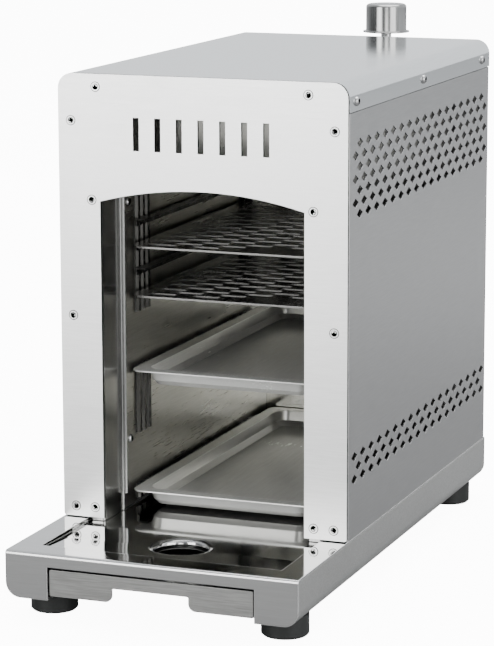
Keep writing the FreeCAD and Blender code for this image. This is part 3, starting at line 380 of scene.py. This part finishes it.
# %% [markdown]
# ## Steel finishes
#
# The sheets are all stainless steel, but each was finished its own way: the front plate is finely
# brushed, the side panels satin, the cover glossier, the drip floor polished like a mirror, and
# the parts inside are bright rolled sheet that heat and fat have dulled. Their tones also hold
# painted light and shade: the front plate is almost white and the cover lighter, while the side
# panels and the drawer front are darker. One function makes all of them from the shader groups,
# and the numbers tell them apart.

# %% What all finishes need
TONE_SPAN = (0.3, 0.7)


def new_finish(name):
    """A material, its tree, its shader and a socket with the place on the object."""
    material = bpy.data.materials.new(name)
    material.use_nodes = True
    tree = material.node_tree
    place = tree.nodes.new("ShaderNodeTexCoord").outputs["Object"]
    return material, tree, tree.nodes["Principled BSDF"], place


def group_in(tree, group, **settings):
    """Places a shader group, feeds its inputs by name and gives back its outputs."""
    node = tree.nodes.new("ShaderNodeGroup")
    node.node_tree = group
    for name, setting in settings.items():
        feed(tree, setting, node.inputs[name])
    return node.outputs


def add_relief(tree, shader, height, normal, strength, depth):
    """Bumps the shader's surface by height, on top of the rounded normal."""
    bump = tree.nodes.new("ShaderNodeBump")
    settings = {"Strength": strength, "Distance": depth, "Height": height, "Normal": normal}
    for name, setting in settings.items():
        feed(tree, setting, bump.inputs[name])
    tree.links.new(bump.outputs["Normal"], shader.inputs["Normal"])


# %% Steel
EDGE_HIGHLIGHT = (0.92, 0.92, 0.91)
CUT_EDGE_AND_GAP_SHADE = (0.02, 0.02, 0.018)
GLOSS_SPAN = (0.25, 0.75)
ROUGHER_LINE = 1.25
BRUSH_FINENESS = 900.0
BRUSH_DEPTH = 0.00004


def steel(name, light, dark, gloss, dull, stretch, relief=0.15, smudge=0.5, smudge_size=9.0,
          edge=0.0004, edge_highlight=0.25, gap=0.8, metal=1.0, scuff=0.3, cut_face=None):
    """A steel finish. light and dark are the tones of the brush lines, gloss and dull the roughness
    of clean and of smudged metal, edge_highlight is how far a painted highlight lightens the edges,
    gap is how dark the painted shade gets where two sheets meet, metal under 1 mixes in the matt
    film of heated fat, scuff is how rough the edges are, and cut_face is the way a laser-cut sheet faces."""
    material, tree, shader, place = new_finish(name)
    shader.inputs["Metallic"].default_value = metal
    lines = group_in(tree, brush_lines, Place=place, Stretch=stretch, Fineness=BRUSH_FINENESS)["Lines"]
    marks = group_in(tree, smudges, Place=place, Size=smudge_size, Amount=smudge)["Mask"]
    edges = group_in(tree, highlight_and_shade_masks, Radius=edge)

    tone = blend(tree, dark, light, span(tree, lines, *TONE_SPAN, 0.0, 1.0))
    # Painted highlight: near each edge the tone is blended toward a near-white.
    highlighted = blend(tree, tone, EDGE_HIGHLIGHT, math_node(tree, "MULTIPLY", edges["Edge"], edge_highlight))
    # Painted shade: where a gap between sheets is found the colour is blended toward near-black; laser-cut
    # edges take the same dark.
    dark_share = math_node(tree, "MULTIPLY", edges["Gap"], gap)
    if cut_face:
        cut = group_in(tree, cut_edges, Face=cut_face)["Mask"]
        dark_share = math_node(tree, "MAXIMUM", dark_share, cut)
    tree.links.new(blend(tree, highlighted, CUT_EDGE_AND_GAP_SHADE, dark_share), shader.inputs["Base Color"])

    brushed = span(tree, lines, *GLOSS_SPAN, gloss, gloss * ROUGHER_LINE)
    smudged = math_node(tree, "ADD", brushed, math_node(tree, "MULTIPLY", marks, dull - gloss))
    scuffed = math_node(tree, "ADD", smudged, math_node(tree, "MULTIPLY", edges["Edge"], scuff))
    tree.links.new(scuffed, shader.inputs["Roughness"])
    add_relief(tree, shader, lines, edges["Normal"], relief, BRUSH_DEPTH)
    return material


# %% [markdown]
# The sheets outside. Brushing runs along the length of each sheet, so the lines of the plate and
# the base lie level, and those of the sides run from front to back. The tones hold painted light
# and shade: the front plate lightest, the sides and the drawer front darker.

# %% Finishes outside
ALONG_X = (0.04, 1.0, 1.0)
ALONG_Y = (1.0, 0.04, 1.0)
ALONG_Z = (1.0, 1.0, 0.04)

# Painted light: the front plate's steel is almost white.
front_satin = steel(
    "front_satin", (0.97, 0.97, 0.96), (0.90, 0.90, 0.89), 0.34, 0.40, ALONG_X, cut_face=(0, 1, 0)
)
# Painted shade: the side panels' steel is darker than the front plate's.
side_satin = steel("side_satin", (0.46, 0.46, 0.46), (0.40, 0.40, 0.40), 0.30, 0.36, ALONG_Y)
# Painted light: the cover is lighter than the side panels.
cover_satin = steel("cover_satin", (0.80, 0.82, 0.83), (0.76, 0.78, 0.79), 0.09, 0.14, ALONG_Y)
drip_mirror = steel(
    "drip_mirror", (0.52, 0.52, 0.515), (0.48, 0.48, 0.475), 0.05, 0.12, ALONG_X,
    relief=0.05, smudge=0.7, smudge_size=14, edge=0.0010, edge_highlight=0.9, scuff=0.5,
)
base_brushed = steel(
    "base_brushed", (0.62, 0.62, 0.61), (0.48, 0.48, 0.47), 0.30, 0.38, ALONG_X, relief=0.3
)
# Painted shade: the drawer front is darker than the base round it.
drawer_brushed = steel(
    "drawer_brushed", (0.38, 0.38, 0.37), (0.28, 0.28, 0.27), 0.30, 0.40, ALONG_X, relief=0.3
)

# %% [markdown]
# The sheets inside. Heat has browned the liners a little, and fat has left a matt film on the
# trays. The grates are dark, and the posts and rails are painted near black as painted shade.

# %% Finishes inside
jamb_bright = steel("jamb_bright", (0.42, 0.42, 0.41), (0.36, 0.36, 0.35), 0.16, 0.26, ALONG_Z)
liner_dulled = steel(
    "liner_dulled", (0.58, 0.575, 0.54), (0.50, 0.495, 0.46), 0.26, 0.36, ALONG_Y, relief=0.05
)
back_bright = steel(
    "back_bright", (0.90, 0.895, 0.85), (0.82, 0.815, 0.77), 0.13, 0.24, ALONG_Z, smudge=0.8
)
# Painted shade: the posts and rails are painted near black, and their edges carry a painted highlight.
rack_painted_shade = steel(
    "rack_painted_shade", (0.07, 0.069, 0.065), (0.04, 0.039, 0.036), 0.24, 0.34, ALONG_Z,
    edge=0.0003, edge_highlight=0.35,
)
grate_steel = steel(
    "grate_steel", (0.24, 0.238, 0.23), (0.17, 0.168, 0.16), 0.20, 0.32, ALONG_Y,
    edge=0.0003, edge_highlight=0.6,
)
tray_steel = steel(
    "tray_steel", (0.82, 0.82, 0.79), (0.75, 0.75, 0.72), 0.18, 0.30, ALONG_Y,
    edge_highlight=0.5, metal=0.50,
)

# %% [markdown]
# Small parts. Screws and brass are so small that their grain has no direction; the knob's fine
# lines run up and down its drum.

# %% Finishes of small parts
EVERY_WAY = (1, 1, 1)
UP_THE_DRUM = (1, 1, 0.03)

head_satin = steel(
    "head_satin", (0.93, 0.93, 0.92), (0.88, 0.88, 0.87), 0.30, 0.36, EVERY_WAY, edge=0.0002
)
screw_steel = steel(
    "screw_steel", (0.62, 0.62, 0.615), (0.50, 0.50, 0.495), 0.22, 0.32, EVERY_WAY, edge=0.0002
)
# Painted shade: the cross recesses get a darker, rougher steel than the heads.
recess_shade_steel = steel(
    "recess_shade_steel", (0.40, 0.40, 0.40), (0.30, 0.30, 0.30), 0.40, 0.50, EVERY_WAY, edge=0.0001, gap=0.0
)
knob_satin = steel(
    "knob_satin", (0.34, 0.34, 0.335), (0.27, 0.27, 0.265), 0.17, 0.24, UP_THE_DRUM, edge=0.0003
)
brass = steel("brass", (0.72, 0.55, 0.27), (0.60, 0.44, 0.20), 0.24, 0.36, EVERY_WAY, edge=0.0003)
print("Finishes so far:", len(bpy.data.materials))

# %% [markdown]
# ## Rubber and ceramic
#
# The feet are moulded rubber, nearly black, with a fine matt grain. The burner's tiles and the
# rods of the igniter and thermocouple are fired ceramic, pale and rough. The last finish is
# painted shade, the dark of a narrow gap.

# %% Rubber and ceramic
MOULD_ROUNDING = 0.0006
ROUGHER_GRAIN = 0.1


def plain_matt(name, light, dark, roughness, fineness, relief, relief_depth):
    """A matt finish with a fine cloudy grain and softly rounded edges."""
    material, tree, shader, place = new_finish(name)
    grain = group_in(tree, brush_lines, Place=place, Stretch=EVERY_WAY, Fineness=fineness)["Lines"]
    rounded = group_in(tree, highlight_and_shade_masks, Radius=MOULD_ROUNDING)["Normal"]
    tone = blend(tree, dark, light, span(tree, grain, *TONE_SPAN, 0.0, 1.0))
    tree.links.new(tone, shader.inputs["Base Color"])
    rough = span(tree, grain, *TONE_SPAN, roughness, roughness + ROUGHER_GRAIN)
    tree.links.new(rough, shader.inputs["Roughness"])
    add_relief(tree, shader, grain, rounded, relief, relief_depth)
    return material


foot_rubber = plain_matt(
    "foot_rubber", (0.014, 0.016, 0.015), (0.007, 0.008, 0.0075), 0.50, 700, 0.4, 0.0001
)
rod_ceramic = plain_matt("rod_ceramic", (0.78, 0.75, 0.70), (0.66, 0.63, 0.58), 0.5, 400, 0.2, 0.0001)
tile_ceramic = plain_matt("tile_ceramic", (0.80, 0.72, 0.60), (0.66, 0.58, 0.47), 0.8, 300, 0.3, 0.0002)
# Painted shade: a near-black finish for the narrow gap of a countersink.
countersink_shade = plain_matt("countersink_shade", (0.012, 0.012, 0.011), (0.006, 0.006, 0.006), 0.6, 700, 0.1, 0.00005)
print("All finishes:", len(bpy.data.materials))

# %% [markdown]
# ## Each node gets its finish

# %% Give each node its finish
FINISHES = {
    front_satin: ["front_plate"],
    side_satin: ["left_panel", "right_panel", "rear_panel", "valve_bracket"],
    cover_satin: ["top_cover"],
    drip_mirror: ["base_top"],
    base_brushed: ["base_shell", "drawer_rails"],
    drawer_brushed: ["drip_drawer"],
    jamb_bright: ["left_jamb", "right_jamb", "front_frame"],
    back_bright: ["back_liner"],
    liner_dulled: ["left_liner", "right_liner", "burner_box", "burner_frame", "heat_shield",
                   "venturi_tube"],
    rack_painted_shade: ["left_posts", "right_posts", "left_rails", "right_rails"],
    grate_steel: ["upper_grate", "lower_grate"],
    tray_steel: ["upper_tray", "lower_tray"],
    screw_steel: ["cover_screws", "valve_nut", "push_sleeve", "valve_stem"],
    knob_satin: ["control_knob"],
    brass: ["gas_valve", "gas_jet", "inlet_nipple"],
    foot_rubber: ["feet"],
    rod_ceramic: ["igniter", "thermocouple"],
    tile_ceramic: ["ceramic_tiles"],
}
for finish, names in FINISHES.items():
    for name in names:
        nodes[name].data.materials.clear()
        nodes[name].data.materials.append(finish)
missing = sorted(set(nodes) - {name for names in FINISHES.values() for name in names})
print("Nodes without a finish:", missing)

# %% [markdown]
# ## Cross-head screws
#
# Twelve countersunk screws hold the front plate, pan-head screws hold the cover, the liners and
# the rear panel. A flat disc would catch the light in one piece and look like a sticker. A 3 by 3
# grid without its corner faces is a cross: it is bridged to a circle and pushed down, and the
# circle is drawn out ring by ring into the head's edge. All shares below are shares of the head's
# radius, or of its height.
#
# These heads have a known fault. Dividing the cross's rim also splits its arms, and only the faces
# that are left of the old ones are bridged and pushed down. The bridge overlaps itself and the
# flat cross stays on top, so from afar a head shows a dark dot in its middle, not a clean cross.

# %% The cross recess
RECESS_REACH = 0.60
RECESS_HALF = 0.08
RECESS_DEPTH = 0.18
RECESS_TAPER = 0.72
RING_SHARE = 0.62
HEAD_SIDES = 24
RECESS, OUTLINE = 1, 2


def only(kind, items):
    """The items of one kind: BMVert, BMEdge or BMFace."""
    return [item for item in items if isinstance(item, kind)]


def cross_in_circle(work, radius):
    """A flat cross bridged to a circle; gives back what is left of its faces, and the circle."""
    reach = RECESS_REACH * radius
    half = RECESS_HALF * radius
    for vertex in bmesh.ops.create_grid(work, x_segments=3, y_segments=3, size=reach)["verts"]:
        for axis in (0, 1):
            if abs(vertex.co[axis]) < reach / 2:
                vertex.co[axis] = math.copysign(half, vertex.co[axis])
    corners = [face for face in work.faces if min(map(abs, face.calc_center_median().xy)) > half]
    bmesh.ops.delete(work, geom=corners, context="FACES")
    whole = list(work.faces)
    bmesh.ops.subdivide_edges(work, edges=[e for e in work.edges if e.is_boundary], cuts=1)
    arms = [face for face in whole if face.is_valid]
    rim = list({edge for face in arms for edge in face.edges if edge.is_boundary})
    bmesh.ops.create_circle(work, segments=HEAD_SIDES, radius=RING_SHARE * radius)
    ring = [edge for edge in work.edges if edge.is_wire]
    bmesh.ops.bridge_loops(work, edges=rim + ring)
    return arms, ring


def sink(work, arms, depth):
    """Pushes the faces down into a tapering recess."""
    sunk = bmesh.ops.extrude_face_region(work, geom=arms)["geom"]
    bottom = only(bmesh.types.BMVert, sunk)
    bmesh.ops.scale(work, verts=bottom, vec=(RECESS_TAPER, RECESS_TAPER, 1))
    bmesh.ops.translate(work, verts=bottom, vec=(0, 0, -depth))
    # The recess faces take the slot of the painted shade.
    for face in only(bmesh.types.BMFace, sunk):
        face.material_index = RECESS


# %% [markdown]
# The flush head is flat with a thin ring of painted shade where it lies in its countersink. The pan
# head falls off in three soft steps and ends inside the sheet. Each ring is a pair: its share of
# the radius and its share of the height.

# %% One screw head
FLUSH_EDGE = ((0.86, 1.0), (0.87, 0.3), (1.0, 0.3), (1.0, -1.0))
PAN_EDGE = ((0.74, 0.88), (0.90, 0.62), (1.0, 0.25), (1.0, -0.1))


def draw_out(work, ring, height, edge):
    """Extrudes the ring through the pairs of edge and closes the last one."""
    wide_before, high_before = RING_SHARE, 1.0
    for index, (wide, high) in enumerate(edge):
        grown = bmesh.ops.extrude_edge_only(work, edges=ring)["geom"]
        verts = only(bmesh.types.BMVert, grown)
        ring = [e for e in only(bmesh.types.BMEdge, grown) if all(v in verts for v in e.verts)]
        growth = wide / wide_before
        bmesh.ops.scale(work, verts=verts, vec=(growth, growth, 1))
        bmesh.ops.translate(work, verts=verts, vec=(0, 0, (high - high_before) * height))
        # Painted shade: the flush head's outer rings get the dark of the countersink gap.
        if edge is FLUSH_EDGE and index > 0:
            for face in only(bmesh.types.BMFace, grown):
                face.material_index = OUTLINE
        wide_before, high_before = wide, high
    bmesh.ops.holes_fill(work, edges=ring)


def screw_head(seat, outward, turn, radius, height, edge):
    """A cross-head screw on its seat, in a bmesh of its own."""
    work = bmesh.new()
    arms, ring = cross_in_circle(work, radius)
    sink(work, arms, RECESS_DEPTH * radius)
    bmesh.ops.translate(work, verts=work.verts, vec=(0, 0, height))
    draw_out(work, ring, height, edge)
    place = (
        Matrix.Translation(seat)
        @ Vector(outward).to_track_quat("Z", "Y").to_matrix().to_4x4()
        @ Matrix.Rotation(turn, 4, "Z")
    )
    bmesh.ops.transform(work, matrix=place, verts=work.verts)
    return work


# %% [markdown]
# A set of equal screws is one piece. Nobody lines up the slots of screws, so each is turned
# further than the one before. The finish of the head fills the first slot of materials, and the
# recess and the outline, both painted shade, have the two after it.

# %% A set of screws
TURN_STEP = 0.9


def merge_into(work, part):
    """Moves the mesh of part, a bmesh of its own, into work."""
    held = bpy.data.meshes.new("held")
    part.to_mesh(held)
    part.free()
    work.from_mesh(held)
    bpy.data.meshes.remove(held)


def screw_set(name, seats, outward_of, radius, height, edge, finish):
    """One piece of the housing that holds a screw at each seat."""
    def make(work):
        for index, seat in enumerate(seats):
            head = screw_head(Vector(seat), outward_of(seat), TURN_STEP * index, radius, height, edge)
            merge_into(work, head)
        bmesh.ops.recalc_face_normals(work, faces=work.faces)

    piece = new_piece(name, make)
    for coat in (finish, recess_shade_steel, countersink_shade):
        piece.data.materials.append(coat)
    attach(piece, "housing")
    print(name, "screws:", len(seats), "faces:", len(piece.data.polygons))
    return piece


# %% [markdown]
# The places of the plate's screws were worked out from the photograph with the solved camera.
# They come in mirrored pairs, and the two lowest pairs sit side by side.

# %% Screws of the front plate
PLATE_SCREWS_MM = ((88, 401), (109.3, 374), (92.2, 312), (109.3, 219), (109.3, 63.2), (92.8, 63.2))
PLATE_HEAD_RADIUS = 0.0040
PLATE_HEAD_HEIGHT = 0.00025

plate_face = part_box("front_plate")[0][1]
plate_seats = [
    (side * x / 1000, plate_face, z / 1000) for x, z in PLATE_SCREWS_MM for side in (-1, 1)
]
screw_set(
    "plate_screws", plate_seats, lambda seat: (0, -1, 0), PLATE_HEAD_RADIUS, PLATE_HEAD_HEIGHT,
    FLUSH_EDGE, head_satin,
)

# %% Screws of the cover
cover_low, cover_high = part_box("cover_screws")
head_radius = (cover_high[2] - cover_low[2]) / 2
first, last = cover_low[1] + head_radius, cover_high[1] - head_radius
panel_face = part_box("right_panel")[1][0]
cover_seats = [
    (side * panel_face, first + step * (last - first) / 2, (cover_low[2] + cover_high[2]) / 2)
    for side in (-1, 1) for step in range(3)
]
cover_heads = screw_set(
    "cover_heads", cover_seats, lambda seat: (math.copysign(1, seat[0]), 0, 0),
    head_radius, cover_high[0] - panel_face, PAN_EDGE, side_satin,
)
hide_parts("cover_screws")

# %% Screws of the liners
LINER_SCREWS_Y = (-0.1276, 0.1664)
LINER_SCREWS_Z = (0.108, 0.303)
LINER_HEAD_RADIUS = 0.0035
PAN_HEAD_HEIGHT = 0.0020

liner_face = -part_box("left_liner")[1][0]
liner_seats = [
    (side * liner_face, y, z) for side in (-1, 1) for y in LINER_SCREWS_Y for z in LINER_SCREWS_Z
]
screw_set(
    "liner_screws", liner_seats, lambda seat: (-math.copysign(1, seat[0]), 0, 0),
    LINER_HEAD_RADIUS, PAN_HEAD_HEIGHT, PAN_EDGE, screw_steel,
)

# %% Screws of the rear panel
REAR_SCREWS_X = 0.108
REAR_SCREWS_Z = (0.066, 0.172, 0.278, 0.384)
REAR_HEAD_RADIUS = 0.0037

rear_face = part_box("rear_panel")[1][1]
rear_seats = [(side * REAR_SCREWS_X, rear_face, z) for side in (-1, 1) for z in REAR_SCREWS_Z]
screw_set(
    "rear_screws", rear_seats, lambda seat: (0, 1, 0), REAR_HEAD_RADIUS, PAN_HEAD_HEIGHT,
    PAN_EDGE, screw_steel,
)

# %% [markdown]
# ## The turned knob
#
# The knob is a steel cap, turned on a lathe: a thin flange at the foot, a plain drum and a softly
# rounded rim. Its outline is spun round the spindle's axis in one full turn, which is what the
# lathe does, and the sharp corners are then bevelled, each by its own amount.

# %% Spinning an outline
SAME_PLACE = 1e-6
ON_THE_RING = 1e-5


def turned(work, outline, axis_x, axis_y, steps=96):
    """Spins an outline of (radius, height) points into a closed solid of revolution."""
    verts = [work.verts.new((axis_x + radius, axis_y, height)) for radius, height in outline]
    edges = [work.edges.new(pair) for pair in zip(verts, verts[1:])]
    bmesh.ops.spin(
        work, geom=verts + edges, cent=(axis_x, axis_y, 0), axis=(0, 0, 1),
        angle=math.tau, steps=steps, use_merge=True, use_duplicate=False,
    )
    bmesh.ops.remove_doubles(work, verts=work.verts, dist=SAME_PLACE)
    bmesh.ops.recalc_face_normals(work, faces=work.faces)


def soften(work, radius, height, axis_x, axis_y, offset, segments):
    """Bevels the round edge that lies at this radius and height."""
    def on_ring(vertex):
        reach = math.hypot(vertex.co.x - axis_x, vertex.co.y - axis_y)
        return abs(reach - radius) < ON_THE_RING and abs(vertex.co.z - height) < ON_THE_RING

    ring = [edge for edge in work.edges if all(on_ring(v) for v in edge.verts)]
    bmesh.ops.bevel(
        work, geom=ring, offset=offset, segments=segments, profile=0.5, affect="EDGES", material=-1,
        clamp_overlap=True,
    )


# %% [markdown]
# Seen from below, the knob has a shallow seat for the spindle in the middle, a hub round it and a
# groove between the hub and the wall, so that the cap isn't heavier than it needs to be.

# %% The knob
knob_low, knob_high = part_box("control_knob")
knob_foot, knob_top = knob_low[2], knob_high[2]
KNOB_AXIS = ((knob_low[0] + knob_high[0]) / 2, (knob_low[1] + knob_high[1]) / 2)
FLANGE_RADIUS = (knob_high[0] - knob_low[0]) / 2
FLANGE_TOP = knob_foot + 0.0012
DRUM_RADIUS = 0.0185
SEAT_RADIUS = 0.0055
SEAT_DEPTH = 0.0012
HUB_RADIUS = 0.0085
GROOVE_RADIUS = 0.0160
GROOVE_DEPTH = 0.006
RIM_ROUNDING = 0.0030
INNER_ROUNDING = 0.0008
FLANGE_ROUNDING = 0.0004


def knob_mesh(work):
    outline = [
        (0.0, knob_foot + SEAT_DEPTH), (SEAT_RADIUS, knob_foot + SEAT_DEPTH), (SEAT_RADIUS, knob_foot),
        (HUB_RADIUS, knob_foot), (HUB_RADIUS, knob_foot + GROOVE_DEPTH),
        (GROOVE_RADIUS, knob_foot + GROOVE_DEPTH), (GROOVE_RADIUS, knob_foot),
        (FLANGE_RADIUS, knob_foot), (FLANGE_RADIUS, FLANGE_TOP),
        (DRUM_RADIUS, FLANGE_TOP), (DRUM_RADIUS, knob_top), (0.0, knob_top),
    ]
    turned(work, outline, *KNOB_AXIS)
    soften(work, DRUM_RADIUS, knob_top, *KNOB_AXIS, RIM_ROUNDING, segments=8)
    soften(work, DRUM_RADIUS, FLANGE_TOP, *KNOB_AXIS, INNER_ROUNDING, segments=4)
    soften(work, FLANGE_RADIUS, FLANGE_TOP, *KNOB_AXIS, FLANGE_ROUNDING, segments=3)


turned_knob = new_piece("turned_knob", knob_mesh)
turned_knob.data.materials.append(knob_satin)
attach(turned_knob, "knob_body")
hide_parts("control_knob")
print("Knob faces:", len(turned_knob.data.polygons))

# %% [markdown]
# ## Hose barbs
#
# A gas hose is pushed over the nipple from below, and four saw-tooth rings keep it there. Each
# tooth rises gently towards the valve and ends in a sharp step, so the hose slides on but not off.

# %% Hose barbs
nipple_low, nipple_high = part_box("inlet_nipple")
NIPPLE_AXIS = ((nipple_low[0] + nipple_high[0]) / 2, (nipple_low[1] + nipple_high[1]) / 2)
NIPPLE_RADIUS = 0.0045
BARB_ROOT = NIPPLE_RADIUS - 0.0002
BARB_CREST = NIPPLE_RADIUS + 0.0008
BARB_START = 0.0010
BARB_LENGTH = 0.0042
BARB_GAP = 0.0006
BARB_COUNT = 4
BARB_SIDES = 40


def barb_mesh(work):
    for index in range(BARB_COUNT):
        low = nipple_low[2] + BARB_START + index * (BARB_LENGTH + BARB_GAP)
        high = low + BARB_LENGTH
        single = bmesh.new()
        outline = [(BARB_ROOT, low), (BARB_CREST, high), (BARB_ROOT, high), (BARB_ROOT, low)]
        turned(single, outline, *NIPPLE_AXIS, steps=BARB_SIDES)
        merge_into(work, single)


hose_barbs = new_piece("hose_barbs", barb_mesh)
hose_barbs.data.materials.append(brass)
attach(hose_barbs, "housing")
print("Barb faces:", len(hose_barbs.data.polygons))

# %% [markdown]
# ## Returns of the drawer front
#
# The drawer's front is a thin sheet, and its two side edges are folded back a little way. The
# folds stiffen it, and they close the slit beside it, through which the floor would shine.

# %% Returns of the drawer front
drawer_low, drawer_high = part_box("drip_drawer")
RETURN_DEPTH = 0.009
RETURN_THICKNESS = 0.0010
RETURN_INSET = 0.0012


def return_mesh(work):
    height = drawer_high[2] - drawer_low[2] - 2 * RETURN_INSET
    size = Matrix.Diagonal((RETURN_THICKNESS, RETURN_DEPTH, height, 1))
    middle = (drawer_low[2] + drawer_high[2]) / 2
    for edge in (drawer_low[0] + RETURN_THICKNESS / 2, drawer_high[0] - RETURN_THICKNESS / 2):
        place = Matrix.Translation((edge, drawer_low[1] + RETURN_INSET + RETURN_DEPTH / 2, middle))
        bmesh.ops.create_cube(work, size=1.0, matrix=place @ size)


drawer_returns = new_piece("drawer_returns", return_mesh)
drawer_returns.data.materials.append(drawer_brushed)
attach(drawer_returns, "drawer")
print("Return faces:", len(drawer_returns.data.polygons))
